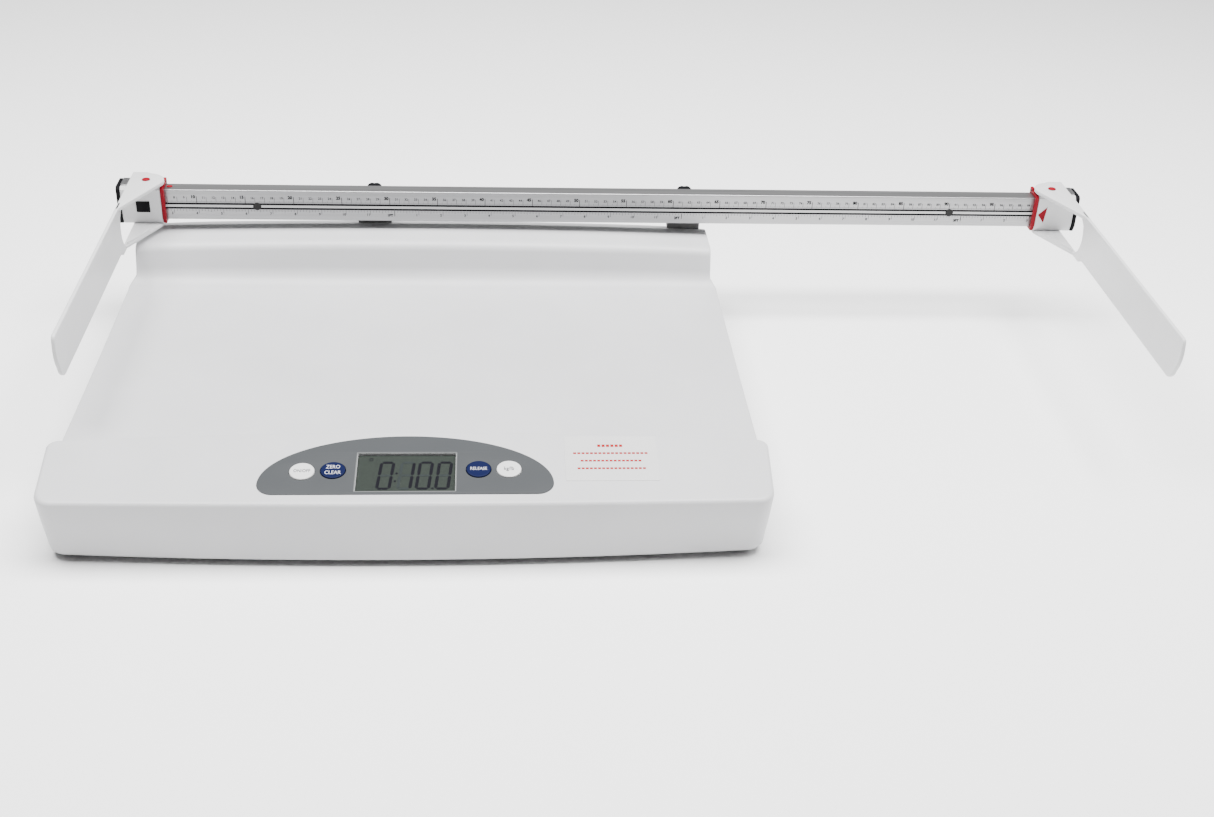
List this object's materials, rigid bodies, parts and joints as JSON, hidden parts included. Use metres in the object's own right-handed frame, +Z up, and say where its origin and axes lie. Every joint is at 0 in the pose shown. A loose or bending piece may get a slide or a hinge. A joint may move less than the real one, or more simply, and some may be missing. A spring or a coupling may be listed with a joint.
{
  "type": "infant tray scale with measuring rod",
  "caption": "Digital infant weighing scale: open curved tray, front console with display and push buttons, and a graduated rod behind with folding head and foot paddles.",
  "frame": {"origin": "centre of the bounding box on the table plane, under the rubber feet", "axes": "+X along the measuring rod, +Y from the console towards the rod, +Z up"},
  "size_m": [1.0214, 0.4951, 0.1521],
  "materials": {
    "white_shell": "satin moulded plastic",
    "tray_white": "smooth satin moulded plastic",
    "panel_grey": "printed overlay",
    "window_clear": "clear",
    "lcd_green": "liquid crystal display",
    "key_white": "satin",
    "key_blue": "satin",
    "rod_aluminium": "clear anodised",
    "bracket_grey": "satin",
    "steel": "brushed",
    "cell_aluminium": "machined",
    "black_plastic": "matte",
    "rubber_black": "matte",
    "red_plastic": "satin",
    "label_white": "printed film",
    "board_green": "solder mask",
    "battery_blue": "satin sleeve"
  },
  "bodies": {
    "scale_frame": {"base_shell": "white_shell", "console_cover": "white_shell", "tray": "tray_white", "display_panel": "panel_grey", "display_window": "window_clear", "lcd_module": "lcd_green", "circuit_board": "board_green", "notice_label": "label_white", "battery_holder": "black_plastic", "battery_1": "battery_blue", "battery_2": "battery_blue", "battery_3": "battery_blue", "battery_4": "battery_blue", "power_jack": "black_plastic", "load_cell_foot": "cell_aluminium", "load_cell": "cell_aluminium", "load_cell_cap": "cell_aluminium", "tray_spider": "steel", "tray_pad_1": "rubber_black", "tray_pad_2": "rubber_black", "tray_pad_3": "rubber_black", "tray_pad_4": "rubber_black", "foot_1": "rubber_black", "foot_2": "rubber_black", "foot_3": "rubber_black", "foot_4": "rubber_black", "rod_profile": "rod_aluminium", "rod_end_cap_left": "black_plastic", "rod_end_cap_right": "black_plastic", "groove_plug_left": "rubber_black", "groove_plug_right": "rubber_black", "rod_bracket_left": "bracket_grey", "rod_bracket_right": "bracket_grey", "slot_nut_left": "steel", "slot_nut_right": "steel", "index_mark": "red_plastic", "lock_cover": "black_plastic", "carriage_left": "white_shell", "trim_left": "red_plastic", "end_rim_left": "black_plastic", "grip_left": "cell_aluminium", "hinge_pin_left": "red_plastic"},
    "head_paddle": {"paddle_left": "white_shell"},
    "sliding_head": {"carriage_right": "white_shell", "trim_right": "red_plastic", "end_rim_right": "black_plastic", "grip_right": "cell_aluminium", "hinge_pin_right": "red_plastic", "reading_pointer": "red_plastic"},
    "foot_paddle": {"paddle_right": "white_shell"},
    "key_power": {"button_power": "key_white"},
    "key_zero": {"button_zero": "key_blue"},
    "key_release": {"button_release": "key_blue"},
    "key_units": {"button_units": "key_white"},
    "knob_left": {"clamp_knob_left": "black_plastic"},
    "knob_right": {"clamp_knob_right": "black_plastic"},
    "battery_hatch": {"battery_door": "white_shell"}
  },
  "joints": [
    {"name": "head_paddle_fold", "type": "hinge", "parent": "scale_frame", "child": "head_paddle", "pos_m": [-0.4797, 0.2194, 0.125], "axis": [0, 0, 1], "range_deg": [0, 90]},
    {"name": "head_slide", "type": "slide", "parent": "scale_frame", "child": "sliding_head", "axis": [1, 0, 0], "range_m": [-0.9, 0]},
    {"name": "foot_paddle_fold", "type": "hinge", "parent": "sliding_head", "child": "foot_paddle", "pos_m": [0.4797, 0.2194, 0.125], "axis": [0, 0, -1], "range_deg": [0, 90]},
    {"name": "key_power_press", "type": "slide", "parent": "scale_frame", "child": "key_power", "axis": [0, 0.1271, -0.9919], "range_m": [0, 0.0008], "stiffness_N_per_m": 900, "springref_m": -0.0002},
    {"name": "key_zero_press", "type": "slide", "parent": "scale_frame", "child": "key_zero", "axis": [0, 0.1271, -0.9919], "range_m": [0, 0.0008], "stiffness_N_per_m": 900, "springref_m": -0.0002},
    {"name": "key_release_press", "type": "slide", "parent": "scale_frame", "child": "key_release", "axis": [0, 0.1271, -0.9919], "range_m": [0, 0.0008], "stiffness_N_per_m": 900, "springref_m": -0.0002},
    {"name": "key_units_press", "type": "slide", "parent": "scale_frame", "child": "key_units", "axis": [0, 0.1271, -0.9919], "range_m": [0, 0.0008], "stiffness_N_per_m": 900, "springref_m": -0.0002},
    {"name": "knob_left_turn", "type": "hinge", "parent": "scale_frame", "child": "knob_left", "pos_m": [-0.2475, 0.2444, 0.129], "axis": [0, 1, 0], "continuous": true},
    {"name": "knob_right_turn", "type": "hinge", "parent": "scale_frame", "child": "knob_right", "pos_m": [0.084, 0.2444, 0.129], "axis": [0, 1, 0], "continuous": true},
    {"name": "battery_hatch_slide", "type": "slide", "parent": "scale_frame", "child": "battery_hatch", "axis": [1, 0, 0], "range_m": [0, 0.008]}
  ]
}
